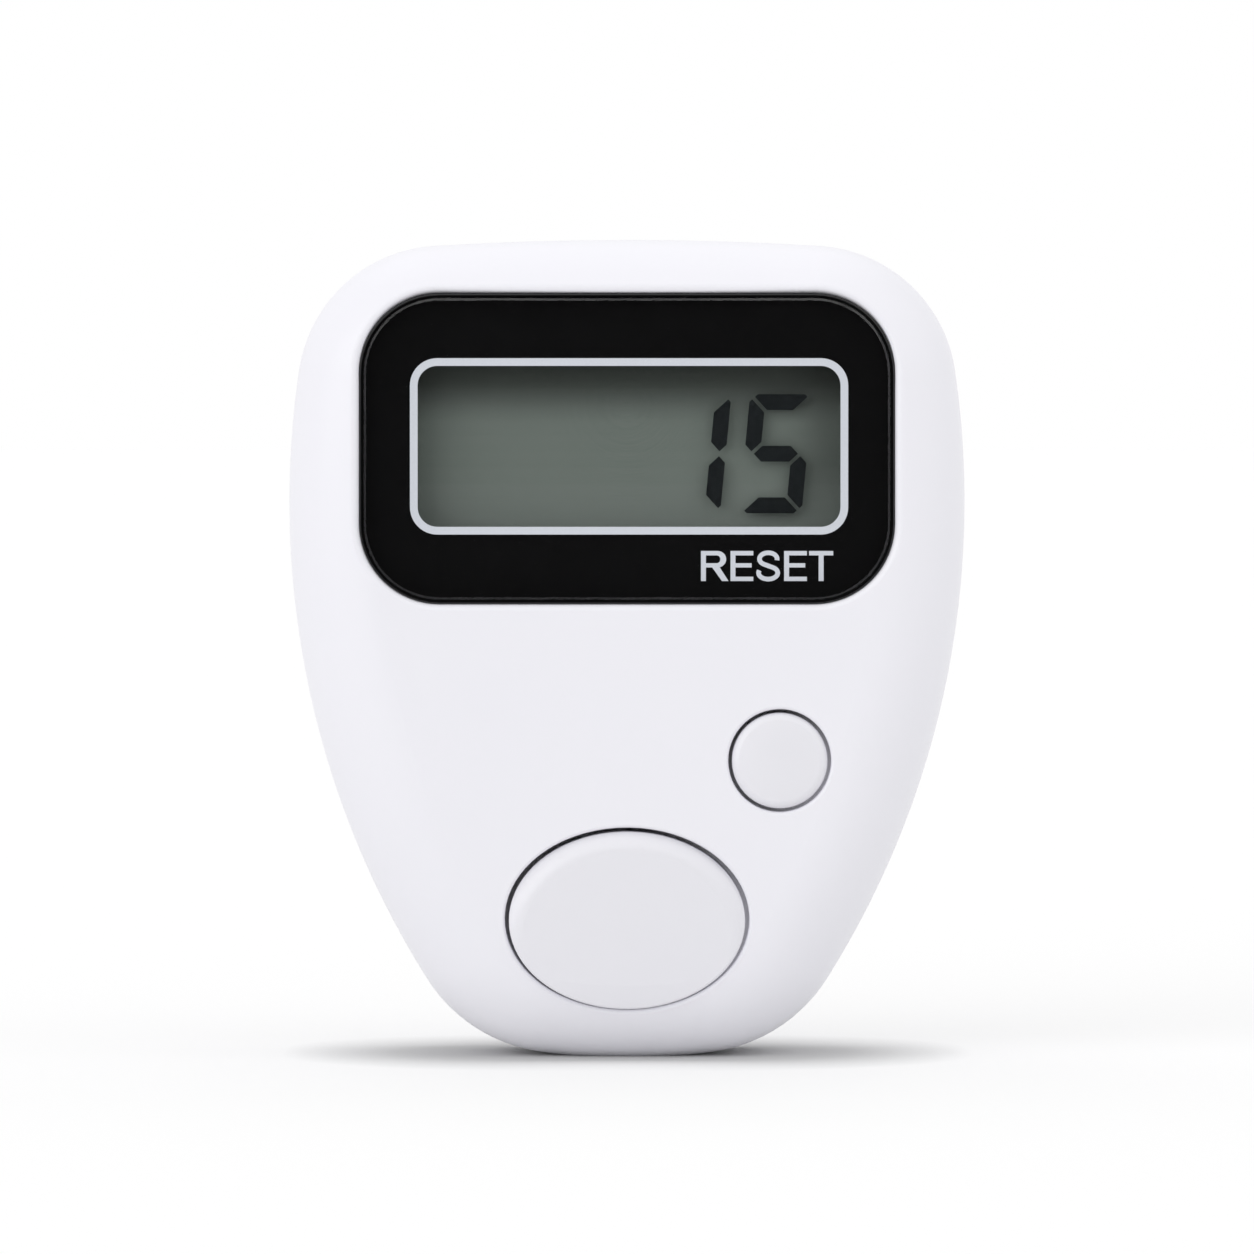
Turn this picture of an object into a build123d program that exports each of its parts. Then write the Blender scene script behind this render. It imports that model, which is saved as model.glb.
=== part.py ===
from build123d import *

import math
import os

os.makedirs("parts", exist_ok=True)

# A pocket tally counter, upright: +Z runs up the display, the front faces -Y, lengths in millimetres.
# A level is a distance in front of the case's middle plane, so the front has the highest levels.

# Face layout, from the bottom up and across
bottom_border = 2.42
count_hole_height = 8.9
count_hole_width = 11.85
middle_band = 10.9
lens_height = 14.85
lens_width = 25.75
lens_corner_radius = 3.8
top_border = 2.75
side_border = 3.6
reset_hole_diameter = 4.98
reset_edge_gap = 0.49
reset_rise = 7.7
window_width = 20.5
window_height = 7.8
window_corner_radius = 0.95
window_rise = 0.12

# Case outline and form
widest_drop = 2.6
flank_radius = 44.0
top_radius = 152.0
bottom_radius = 28.5
foot_width = 6.4
top_corner_radius = 7.1
bottom_corner_radius = 7.8
front_edge_radius = 4.3
back_edge_radius = 2.2
crown_start_gap = 2.0
crown_radius = 160.0
wall = 1.3
seam_chamfer = 0.15
lip_height = 1.0
lip_clearance = 0.06
parting_drop = 0.55

# Depth of each layer, from the front face to the back
lens_recess = 0.45
lens_thickness = 1.0
adhesive_thickness = 0.1
seat_thickness = 0.9
glass_thickness = 0.55
reflector_thickness = 0.2
foam_thickness = 1.6
board_thickness = 1.0
spring_height = 0.35
cell_thickness = 3.05
clip_thickness = 0.2
clip_clearance = 0.4
cover_wall = 1.25

# Panel and display
lens_gap = 0.1
lens_bevel = 0.25
rim_radius = 0.3
tray_wall = 1.0
window_relief = 0.8
glass_margin = 1.4
glass_ledge = 2.0
glass_clearance = 0.2
fence_thickness = 0.6
reflector_inset = 0.3
foam_inset = 1.5
zebra_thickness = 1.2
zebra_inset = 1.2

# Buttons
count_gap = 0.2
count_foot_gap = 0.06
reset_gap = 0.17
count_proud = 0.35
reset_proud = 0.1
reset_dome_rise = 0.25
brow_radius = 1.1
brow_side = 0.45
brow_top = 0.13
brow_foot = 1.6
cap_edge_radius = 0.12
reset_edge_radius = 0.42
hole_edge_radius = 0.15
count_travel = 0.8
reset_travel = 0.5
collar_thickness = 0.8
count_collar_reach = 3.5
reset_collar_reach = 2.3
flange_thickness = 0.6
flange_lap = 0.5
flange_clearance = 0.8
rest_gap = 0.05
cap_skirt = 0.9
cap_ceiling_reach = 2.4

# Switches
pad_thickness = 0.05
pad_split = 0.4
contact_gap = 0.03
pill_thickness = 0.4
count_pill_radius = 1.3
reset_pill_radius = 0.9
dome_rim = 0.45
dome_rim_width = 0.5
dome_web = 0.35
count_dome_radius = 3.1
reset_dome_radius = 2.4
hub_margin = 0.2
count_hub_height = 0.8

# Board and what it carries
board_clearance = 0.35
chip_radius = 2.3
chip_height = 1.1
chip_offset = 4.7
chip_rise = 1.4
capacitor_length = 1.6
capacitor_width = 0.8
capacitor_pitch = 1.7
capacitor_offset = 4.4
cell_diameter = 11.6
cell_drop = 0.75
cell_cap_inset = 1.1
cell_cap_step = 0.3
cell_edge_radius = 0.35
clip_width = 4.0
clip_foot = 1.5
clip_side_gap = 0.25
spring_thickness = 0.15
spring_length = 8.0
spring_width = 3.0

# Screws, bosses and posts
boss_radius = 1.45
boss_clearance = 0.25
screw_inset = 3.4
lower_screw_height = 9.5
screw_radius = 0.7
screw_clearance = 0.12
thread_clearance = 0.02
thread_depth = 3.2
tip_clearance = 0.3
head_radius = 1.1
head_height = 0.9
head_bevel = 0.25
head_clearance = 0.15
head_sink = 2.2
slot_width = 0.3
slot_depth = 0.45
slot_length_share = 0.7
board_boss_radius = 1.25
board_screw_inset = 3.8
board_screw_radius = 0.5
board_thread_depth = 1.8
board_head_radius = 0.95
board_head_height = 0.6
anvil_radius = 1.2
anvil_gap = 0.1

# Strap bridge on the back
strap_slot_height = 8.6
strap_slot_depth = 2.0
bridge_thickness = 1.2
bridge_width = 9.0
bridge_edge_radius = 0.4
pocket_reach = 5.6
channel_wall = 1.0
channel_clearance = 0.6

overrun = 5.0

# Levels through the depth
case_depth = sum([
    lens_recess, lens_thickness, adhesive_thickness, seat_thickness, glass_thickness, glass_thickness,
    reflector_thickness, foam_thickness, board_thickness, spring_height, cell_thickness, clip_thickness,
    clip_clearance, cover_wall,
])
crown = case_depth / 2
lens_front = crown - lens_recess
lens_back = lens_front - lens_thickness
seat_front = lens_back - adhesive_thickness
seat_back = seat_front - seat_thickness
glass_joint = seat_back - glass_thickness
glass_back = glass_joint - glass_thickness
reflector_back = glass_back - reflector_thickness
board_front = reflector_back - foam_thickness
board_back = board_front - board_thickness
cell_front = board_back - spring_height
cell_back = cell_front - cell_thickness
clip_back = cell_back - clip_thickness
cover_inside = clip_back - clip_clearance
back = cover_inside - cover_wall
parting = board_back - parting_drop
count_collar_end = crown - count_collar_reach
count_flange_front = count_collar_end - rest_gap
count_flange_back = count_flange_front - flange_thickness
reset_collar_end = crown - reset_collar_reach
reset_flange_front = reset_collar_end - rest_gap
reset_flange_back = reset_flange_front - flange_thickness
cap_ceiling = crown - cap_ceiling_reach
pad_front = board_front + pad_thickness
count_pill_back = pad_front + count_travel + contact_gap
reset_pill_back = pad_front + reset_travel + contact_gap
count_hub_front = count_pill_back + pill_thickness + count_hub_height
reset_hub_front = reset_flange_back - rest_gap
head_seat = back + head_sink
bridge_inside = back + bridge_thickness
slot_floor = bridge_inside + strap_slot_depth

# Heights and widths on the face
count_z = bottom_border + count_hole_height / 2
reset_z = count_z + reset_rise
panel_bottom = bottom_border + count_hole_height + middle_band
panel_z = panel_bottom + lens_height / 2
case_height = panel_bottom + lens_height + top_border
case_width = lens_width + 2 * side_border
widest_z = panel_z - widest_drop
crown_start = panel_bottom - crown_start_gap
window_z = panel_z + window_rise
glass_width = window_width + 2 * glass_margin
rear_glass_height = window_height + 2 * glass_margin
front_glass_height = rear_glass_height + glass_ledge
glass_top = window_z + rear_glass_height / 2
glass_bottom = glass_top - front_glass_height
front_glass_z = (glass_top + glass_bottom) / 2
foot_sag = bottom_radius - math.sqrt(bottom_radius**2 - (foot_width / 2) ** 2)
cell_z = window_z - cell_drop
cell_radius = cell_diameter / 2


def flank_x(height):
    """Half the case's width at a height on its flanks."""
    rise = height - widest_z
    return case_width / 2 - flank_radius + math.sqrt(flank_radius**2 - rise**2)


reset_x = flank_x(reset_z) - front_edge_radius - reset_edge_gap - reset_hole_diameter / 2

# Screw places, each as (x, z)
top_screw_z = glass_top + glass_clearance + boss_radius
lower_screw_x = flank_x(lower_screw_height) - screw_inset
case_screw_places = [
    (0, top_screw_z),
    (lower_screw_x, lower_screw_height),
    (-lower_screw_x, lower_screw_height),
]
board_screw_z = glass_bottom - glass_clearance - fence_thickness - board_boss_radius
board_screw_x = flank_x(board_screw_z) - board_screw_inset
board_screw_places = [(board_screw_x, board_screw_z), (-board_screw_x, board_screw_z)]
board_top = top_screw_z - boss_radius - boss_clearance
channel_top = cell_z - cell_radius - channel_clearance - channel_wall


def at(level):
    """The plane that faces the front at a level."""
    return Plane.XZ.offset(level)


def section(x, z):
    """The plane across a front-to-back axis through (x, z): its own y is the level, its normal is -Z."""
    return Plane(origin=(x, 0, z), x_dir=(1, 0, 0), z_dir=(0, 0, -1))


def axis_at(x, z):
    """The front-to-back axis through (x, z)."""
    return Axis((x, 0, z), (0, 1, 0))


def face_level(height):
    """The front face's level at a height below the panel, where the face curves back."""
    rise = crown_start - height
    return crown - crown_radius + math.sqrt(crown_radius**2 - rise**2)


def outline(inset):
    """The case's outline drawn in by an inset: bowed flanks, top and foot, with rounded corners."""
    with BuildSketch() as shape:
        with Locations((case_width / 2 - flank_radius, widest_z)):
            Circle(flank_radius - inset)
        with Locations((flank_radius - case_width / 2, widest_z)):
            Circle(flank_radius - inset, mode=Mode.INTERSECT)
        with Locations((0, case_height - top_radius)):
            Circle(top_radius - inset, mode=Mode.INTERSECT)
        with Locations((0, bottom_radius - foot_sag)):
            Circle(bottom_radius - inset, mode=Mode.INTERSECT)
        fillet(vertices().group_by(Axis.Y)[-1], top_corner_radius - inset)
        fillet(vertices().group_by(Axis.Y)[0], bottom_corner_radius - inset)
    return shape.sketch


def front_form(inset, base):
    """The front half drawn in by an inset: a flat face that curves back below the panel, edges rounded."""
    top = crown - inset
    bend = crown_radius - inset
    with BuildSketch(at(base)) as plan:
        add(outline(inset))
    extrude(plan.sketch, amount=top - base)
    with BuildSketch(Plane.YZ) as front:
        with BuildLine():
            turn = math.degrees(math.asin((crown_start + overrun) / bend))
            curve = JernArc((-top, crown_start), (0, -1), bend, turn)
            foot = curve @ 1
            Polyline(foot, (-top - overrun, foot.Y), (-top - overrun, crown_start), curve @ 0)
        make_face()
    extrude(front.sketch, amount=case_width, both=True, mode=Mode.SUBTRACT)
    rim = faces().sort_by(Axis.Y)[:2].edges().filter_by(Axis.X, reverse=True)
    fillet(rim, front_edge_radius - inset)


def dome(x, z, radius, pill_radius, pill_front, hub_front):
    """A silicone dome on the board: a flat rim, a sloping web and a hub over the pill."""
    hub_radius = pill_radius + hub_margin
    web_foot = radius - dome_rim_width
    with BuildSketch(section(x, z)) as profile:
        with BuildLine():
            Polyline(
                (0, hub_front),
                (hub_radius, hub_front),
                (hub_radius, pill_front + dome_web),
                (web_foot, board_front + dome_rim),
                (radius, board_front + dome_rim),
                (radius, board_front),
                (web_foot - dome_web, board_front),
                (hub_radius, pill_front),
                (0, pill_front),
                close=True,
            )
        make_face()
    revolve(profile.sketch, axis=axis_at(x, z))


def screws(places, shank, tip, seat, head, height):
    """Pan-head screws driven from the back, each with a cross recess in its head."""
    with BuildSketch(at(seat)) as shanks:
        with Locations(*places):
            Circle(shank)
    extrude(shanks.sketch, amount=tip - seat)
    with BuildSketch(at(seat)) as heads:
        with Locations(*places):
            Circle(head)
    extrude(heads.sketch, amount=-height)
    chamfer(edges().group_by(Axis.Y)[-1], head_bevel)
    with BuildSketch(at(seat - height)) as slots:
        with Locations(*places):
            Rectangle(2 * head * slot_length_share, slot_width)
            Rectangle(slot_width, 2 * head * slot_length_share)
    extrude(slots.sketch, amount=slot_depth, mode=Mode.SUBTRACT)


def finish(piece, name):
    """Label a finished piece and write it."""
    piece.part.label = name
    export_step(piece.part, f"parts/{name}.step")


# The hollow of the front half, with the tray, fence, bosses and button collars left standing
with BuildPart() as front_hollow:
    front_form(wall, parting - overrun)
    tray_margin = lens_gap + tray_wall
    with BuildSketch(at(seat_back)):
        with Locations((0, panel_z)):
            RectangleRounded(
                lens_width + 2 * tray_margin, lens_height + 2 * tray_margin, lens_corner_radius + tray_margin
            )
    extrude(amount=crown - seat_back, mode=Mode.SUBTRACT)
    fence_margin = glass_clearance + fence_thickness
    with BuildSketch(at(glass_back)):
        with Locations((0, front_glass_z)):
            Rectangle(glass_width + 2 * fence_margin, front_glass_height + 2 * fence_margin)
            Rectangle(
                glass_width + 2 * glass_clearance,
                front_glass_height + 2 * glass_clearance,
                mode=Mode.SUBTRACT,
            )
    extrude(amount=seat_back - glass_back, mode=Mode.SUBTRACT)
    with BuildSketch(at(parting)):
        with Locations(*case_screw_places):
            Circle(boss_radius)
    extrude(amount=crown - parting, mode=Mode.SUBTRACT)
    with BuildSketch(at(board_front)):
        with Locations(*board_screw_places):
            Circle(board_boss_radius)
    extrude(amount=crown - board_front, mode=Mode.SUBTRACT)
    with BuildSketch(at(count_collar_end)):
        with Locations((0, count_z)):
            Ellipse(count_hole_width / 2 + collar_thickness, count_hole_height / 2 + collar_thickness)
    extrude(amount=count_collar_reach, mode=Mode.SUBTRACT)
    with BuildSketch(at(reset_collar_end)):
        with Locations((reset_x, reset_z)):
            Circle(reset_hole_diameter / 2 + collar_thickness)
    extrude(amount=reset_collar_reach, mode=Mode.SUBTRACT)

# The front half of the case, cut flat at the foot so that it stands
lip_inset = wall / 2
with BuildPart() as front_shell:
    front_form(0, parting)
    chamfer(faces().sort_by(Axis.Y)[-1].edges(), seam_chamfer)
    split(bisect_by=Plane.XY)
    add(front_hollow.part, mode=Mode.SUBTRACT)
    with BuildSketch(at(parting)):
        add(outline(lip_inset))
        add(outline(wall + lip_clearance), mode=Mode.SUBTRACT)
    extrude(amount=lip_height + lip_clearance, mode=Mode.SUBTRACT)
    with BuildSketch(at(seat_front)):
        with Locations((0, panel_z)):
            RectangleRounded(
                lens_width + 2 * lens_gap, lens_height + 2 * lens_gap, lens_corner_radius + lens_gap
            )
    extrude(amount=crown - seat_front + overrun, mode=Mode.SUBTRACT)
    fillet(edges(Select.LAST).filter_by_position(Axis.Y, -crown - overrun, -lens_front), rim_radius)
    with BuildSketch(at(seat_back)):
        with Locations((0, window_z)):
            Rectangle(window_width + 2 * window_relief, window_height + 2 * window_relief)
    extrude(amount=seat_thickness, mode=Mode.SUBTRACT)
    with BuildSketch(at(count_collar_end)):
        with Locations((0, count_z)):
            Ellipse(count_hole_width / 2, count_hole_height / 2)
    extrude(amount=count_collar_reach + overrun, mode=Mode.SUBTRACT)
    fillet(edges(Select.LAST).filter_by_position(Axis.Y, -crown - overrun, -cap_ceiling), hole_edge_radius)
    with BuildSketch(at(reset_collar_end)):
        with Locations((reset_x, reset_z)):
            Circle(reset_hole_diameter / 2)
    extrude(amount=reset_collar_reach + overrun, mode=Mode.SUBTRACT)
    fillet(edges(Select.LAST).sort_by(Axis.Y)[0], hole_edge_radius)
    with BuildSketch(at(parting)):
        with Locations(*case_screw_places):
            Circle(screw_radius + thread_clearance)
    extrude(amount=thread_depth, mode=Mode.SUBTRACT)
    with BuildSketch(at(board_front)):
        with Locations(*board_screw_places):
            Circle(board_screw_radius + thread_clearance)
    extrude(amount=board_thread_depth, mode=Mode.SUBTRACT)
finish(front_shell, "front_shell")

# The hollow of the back half, with the screw posts, switch anvils and strap channel left standing
ramp_share = (slot_floor - back) / pocket_reach
channel_floor = slot_floor + channel_wall
channel_foot = bridge_width / 2 + (channel_floor - cover_inside) / ramp_share
with BuildPart() as cover_hollow:
    with BuildSketch(at(cover_inside)):
        add(outline(wall))
    extrude(amount=parting + lip_height - cover_inside + overrun)
    fillet(faces().sort_by(Axis.Y)[-1].edges(), back_edge_radius - wall)
    with BuildSketch(at(cover_inside)):
        with Locations(*case_screw_places):
            Circle(boss_radius)
    extrude(amount=parting - cover_inside, mode=Mode.SUBTRACT)
    with BuildSketch(at(cover_inside)):
        with Locations((0, count_z), (reset_x, reset_z)):
            Circle(anvil_radius)
    extrude(amount=board_back - anvil_gap - cover_inside, mode=Mode.SUBTRACT)
    with BuildSketch(section(0, channel_top + channel_wall)):
        Polygon(
            (-channel_foot, cover_inside),
            (channel_foot, cover_inside),
            (bridge_width / 2, channel_floor),
            (-bridge_width / 2, channel_floor),
            align=None,
        )
    extrude(amount=strap_slot_height + 2 * channel_wall, mode=Mode.SUBTRACT)

# The back half of the case, cut flat at the foot too, with a bridge that a strap passes under
pocket_edge = bridge_width / 2 + pocket_reach
with BuildPart() as rear_cover:
    with BuildSketch(at(back)):
        add(outline(0))
    extrude(amount=parting - back)
    fillet(faces().sort_by(Axis.Y)[-1].edges(), back_edge_radius)
    chamfer(faces().sort_by(Axis.Y)[0].edges(), seam_chamfer)
    split(bisect_by=Plane.XY)
    with BuildSketch(at(parting)):
        add(outline(lip_inset + lip_clearance))
    extrude(amount=lip_height)
    add(cover_hollow.part, mode=Mode.SUBTRACT)
    with BuildSketch(at(parting)):
        with Locations(*case_screw_places):
            Circle(boss_radius + boss_clearance)
    extrude(amount=lip_height, mode=Mode.SUBTRACT)
    with BuildSketch(section(0, channel_top)):
        Polygon(
            (-pocket_edge, back - overrun),
            (pocket_edge, back - overrun),
            (pocket_edge, back),
            (bridge_width / 2, slot_floor),
            (-bridge_width / 2, slot_floor),
            (-pocket_edge, back),
            align=None,
        )
    extrude(amount=strap_slot_height, mode=Mode.SUBTRACT)
    with BuildSketch(section(0, channel_top + channel_wall)):
        with Locations((0, (back + bridge_inside) / 2)):
            RectangleRounded(bridge_width, bridge_thickness, bridge_edge_radius)
    extrude(amount=strap_slot_height + 2 * channel_wall)
    with BuildSketch(at(back)):
        with Locations(*case_screw_places):
            Circle(head_radius + head_clearance)
    extrude(amount=head_sink, mode=Mode.SUBTRACT)
    with BuildSketch(at(head_seat)):
        with Locations(*case_screw_places):
            Circle(screw_radius + screw_clearance)
    extrude(amount=parting - head_seat, mode=Mode.SUBTRACT)
finish(rear_cover, "rear_cover")

# The panel over the display, with a bevelled front edge
with BuildPart() as display_lens:
    with BuildSketch(at(lens_back)):
        with Locations((0, panel_z)):
            RectangleRounded(lens_width, lens_height, lens_corner_radius)
    extrude(amount=lens_thickness)
    chamfer(faces().sort_by(Axis.Y)[0].edges(), lens_bevel)
finish(display_lens, "display_lens")

# The black film behind the panel, open at the window
with BuildPart() as lens_adhesive:
    with BuildSketch(at(seat_front)):
        with Locations((0, panel_z)):
            RectangleRounded(lens_width, lens_height, lens_corner_radius)
        with Locations((0, window_z)):
            RectangleRounded(window_width, window_height, window_corner_radius, mode=Mode.SUBTRACT)
    extrude(amount=adhesive_thickness)
finish(lens_adhesive, "lens_adhesive")

# The display: two glass plates, the front one longer, and a reflecting film
with BuildPart() as lcd_front_glass:
    with BuildSketch(at(glass_joint)):
        with Locations((0, front_glass_z)):
            Rectangle(glass_width, front_glass_height)
    extrude(amount=glass_thickness)
finish(lcd_front_glass, "lcd_front_glass")

with BuildPart() as lcd_rear_glass:
    with BuildSketch(at(glass_back)):
        with Locations((0, window_z)):
            Rectangle(glass_width, rear_glass_height)
    extrude(amount=glass_thickness)
finish(lcd_rear_glass, "lcd_rear_glass")

with BuildPart() as lcd_reflector:
    with BuildSketch(at(reflector_back)):
        with Locations((0, window_z)):
            Rectangle(glass_width - 2 * reflector_inset, rear_glass_height - 2 * reflector_inset)
    extrude(amount=reflector_thickness)
finish(lcd_reflector, "lcd_reflector")

with BuildPart() as lcd_foam_pad:
    with BuildSketch(at(board_front)):
        with Locations((0, window_z)):
            Rectangle(glass_width - 2 * foam_inset, rear_glass_height - 2 * foam_inset)
    extrude(amount=foam_thickness)
finish(lcd_foam_pad, "lcd_foam_pad")

with BuildPart() as zebra_strip:
    with BuildSketch(at(board_front)):
        with Locations((0, glass_bottom + glass_ledge / 2)):
            Rectangle(glass_width - 2 * zebra_inset, zebra_thickness)
    extrude(amount=glass_joint - board_front)
finish(zebra_strip, "zebra_strip")

# The circuit board, notched round the lower bosses
notch_radius = boss_radius + boss_clearance
with BuildPart() as circuit_board:
    with BuildSketch(at(board_back)):
        add(outline(wall + board_clearance))
        with Locations((0, board_top)):
            Rectangle(case_width, case_height, align=(Align.CENTER, Align.MIN), mode=Mode.SUBTRACT)
        with Locations(*case_screw_places):
            Circle(notch_radius, mode=Mode.SUBTRACT)
        with Locations((lower_screw_x, lower_screw_height)):
            Rectangle(case_width, 2 * notch_radius, align=(Align.MIN, Align.CENTER), mode=Mode.SUBTRACT)
        with Locations((-lower_screw_x, lower_screw_height)):
            Rectangle(case_width, 2 * notch_radius, align=(Align.MAX, Align.CENTER), mode=Mode.SUBTRACT)
        with Locations(*board_screw_places):
            Circle(board_screw_radius + screw_clearance, mode=Mode.SUBTRACT)
    extrude(amount=board_thickness)
finish(circuit_board, "circuit_board")

# Split contact pads under the two buttons
with BuildPart() as switch_pads:
    with BuildSketch(at(board_front)):
        with Locations((0, count_z)):
            Circle(count_pill_radius)
            Rectangle(pad_split, 2 * count_pill_radius, mode=Mode.SUBTRACT)
        with Locations((reset_x, reset_z)):
            Circle(reset_pill_radius)
            Rectangle(pad_split, 2 * reset_pill_radius, mode=Mode.SUBTRACT)
    extrude(amount=pad_thickness)
finish(switch_pads, "switch_pads")

# The chip under its bead of resin
chip_z = count_z + chip_rise
with BuildPart() as chip_blob:
    with BuildSketch(section(-chip_offset, chip_z)):
        with BuildLine():
            sphere_radius = (chip_radius**2 + chip_height**2) / (2 * chip_height)
            top = (0, board_back - chip_height)
            edge = (chip_radius, board_back)
            RadiusArc(top, edge, sphere_radius)
            Polyline(edge, (0, board_back), top)
        make_face()
    revolve(axis=axis_at(-chip_offset, chip_z))
finish(chip_blob, "chip_blob")

with BuildPart() as bias_capacitors:
    with BuildSketch(at(board_back)):
        with Locations((capacitor_offset, chip_z)):
            with GridLocations(capacitor_length, capacitor_pitch, 1, 2):
                Rectangle(capacitor_length, capacitor_width)
    extrude(amount=-capacitor_width)
finish(bias_capacitors, "bias_capacitors")

# The cell, its cap towards the board, with a clip over it and a bowed strip under it
with BuildPart() as button_cell:
    with BuildSketch(at(cell_back)):
        with Locations((0, cell_z)):
            Circle(cell_radius)
    extrude(amount=cell_thickness - cell_cap_step)
    fillet(edges().filter_by(GeomType.CIRCLE), cell_edge_radius)
    with BuildSketch(at(cell_front)):
        with Locations((0, cell_z)):
            Circle(cell_radius - cell_cap_inset)
    extrude(amount=-2 * cell_cap_step)
finish(button_cell, "button_cell")

leg_inside = cell_radius + clip_side_gap
leg_outside = leg_inside + clip_thickness
with BuildPart() as cell_clip:
    with BuildSketch(section(0, cell_z + clip_width / 2)):
        with Locations((0, clip_back)):
            Rectangle(2 * leg_outside, clip_thickness, align=(Align.CENTER, Align.MIN))
        for side in (Align.MIN, Align.MAX):
            turn = 1 if side == Align.MIN else -1
            with Locations((turn * leg_inside, clip_back)):
                Rectangle(clip_thickness, board_back - clip_back, align=(side, Align.MIN))
            with Locations((turn * leg_inside, board_back)):
                Rectangle(clip_thickness + clip_foot, clip_thickness, align=(side, Align.MAX))
    extrude(amount=clip_width)
finish(cell_clip, "cell_clip")

with BuildPart() as cell_spring:
    with BuildSketch(section(0, cell_z + spring_width / 2)):
        with BuildLine():
            reach = spring_length / 2
            heel = reach - spring_height
            ThreePointArc((-reach, board_back), (0, cell_front), (reach, board_back))
            Line((reach, board_back), (heel, board_back))
            ThreePointArc((heel, board_back), (0, cell_front + spring_thickness), (-heel, board_back))
            Line((-heel, board_back), (-reach, board_back))
        make_face()
    extrude(amount=spring_width)
finish(cell_spring, "cell_spring")

# The oval thumb button: its face follows the case, its brow falls away, and a flange keeps it in
cap_z = count_z - (count_gap - count_foot_gap) / 2
cap_half_width = count_hole_width / 2 - count_gap
cap_half_height = (count_hole_height - count_gap - count_foot_gap) / 2
cap_reach = crown - count_flange_back + overrun
with BuildPart() as count_button:
    front_form(-count_proud, parting)
    with BuildSketch(at(count_flange_back)):
        with Locations((0, cap_z + (brow_top - brow_foot) / 2)):
            Ellipse(cap_half_width + brow_side, cap_half_height + (brow_top + brow_foot) / 2)
    extrude(amount=cap_reach, mode=Mode.INTERSECT)
    fillet(edges().filter_by_position(Axis.Y, -crown - overrun, -cap_ceiling), brow_radius)
    with BuildSketch(at(count_flange_back)):
        with Locations((0, cap_z)):
            Ellipse(cap_half_width, cap_half_height)
    extrude(amount=cap_reach, mode=Mode.INTERSECT)
    fillet(edges().filter_by_position(Axis.Y, -crown - overrun, -cap_ceiling), cap_edge_radius)
    with BuildSketch(at(count_flange_back)):
        with Locations((0, count_z)):
            Ellipse(count_hole_width / 2 + flange_lap, count_hole_height / 2 + flange_lap)
        add(outline(wall + flange_clearance), mode=Mode.INTERSECT)
    extrude(amount=flange_thickness)
    with BuildSketch(at(count_flange_back)):
        with Locations((0, cap_z)):
            Ellipse(cap_half_width - cap_skirt, cap_half_height - cap_skirt)
    extrude(amount=cap_ceiling - count_flange_back, mode=Mode.SUBTRACT)
    with BuildSketch(at(count_hub_front + rest_gap)):
        with Locations((0, count_z)):
            Circle(count_pill_radius)
    extrude(amount=cap_ceiling - count_hub_front)
finish(count_button, "count_button")

# The small round button
reset_cap_radius = reset_hole_diameter / 2 - reset_gap
reset_rim = face_level(reset_z) + reset_proud
reset_bow_radius = (reset_cap_radius**2 + reset_dome_rise**2) / (2 * reset_dome_rise)
with BuildPart() as reset_button:
    with BuildSketch(at(reset_flange_back)):
        with Locations((reset_x, reset_z)):
            Circle(reset_hole_diameter / 2 + flange_lap)
    extrude(amount=flange_thickness)
    with BuildSketch(at(reset_flange_back)):
        with Locations((reset_x, reset_z)):
            Circle(reset_cap_radius)
    extrude(amount=reset_rim + reset_dome_rise - reset_flange_back)
    with Locations((reset_x, reset_bow_radius - reset_rim - reset_dome_rise, reset_z)):
        Sphere(reset_bow_radius, mode=Mode.INTERSECT)
    fillet(edges().filter_by(lambda edge: edge.is_closed).sort_by(Axis.Y)[0], reset_edge_radius)
finish(reset_button, "reset_button")

# Domes and pills
with BuildPart() as count_dome:
    count_pill_front = count_pill_back + pill_thickness
    dome(0, count_z, count_dome_radius, count_pill_radius, count_pill_front, count_hub_front)
finish(count_dome, "count_dome")

with BuildPart() as reset_dome:
    reset_pill_front = reset_pill_back + pill_thickness
    dome(reset_x, reset_z, reset_dome_radius, reset_pill_radius, reset_pill_front, reset_hub_front)
finish(reset_dome, "reset_dome")

with BuildPart() as count_pill:
    with BuildSketch(at(count_pill_back)):
        with Locations((0, count_z)):
            Circle(count_pill_radius)
    extrude(amount=pill_thickness)
finish(count_pill, "count_pill")

with BuildPart() as reset_pill:
    with BuildSketch(at(reset_pill_back)):
        with Locations((reset_x, reset_z)):
            Circle(reset_pill_radius)
    extrude(amount=pill_thickness)
finish(reset_pill, "reset_pill")

# Screws
with BuildPart() as case_screws:
    case_tip = parting + thread_depth - tip_clearance
    screws(case_screw_places, screw_radius, case_tip, head_seat, head_radius, head_height)
finish(case_screws, "case_screws")

with BuildPart() as board_screws:
    board_tip = board_front + board_thread_depth - tip_clearance
    screws(
        board_screw_places, board_screw_radius, board_tip, board_back, board_head_radius, board_head_height
    )
finish(board_screws, "board_screws")
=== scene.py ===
import math

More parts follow.
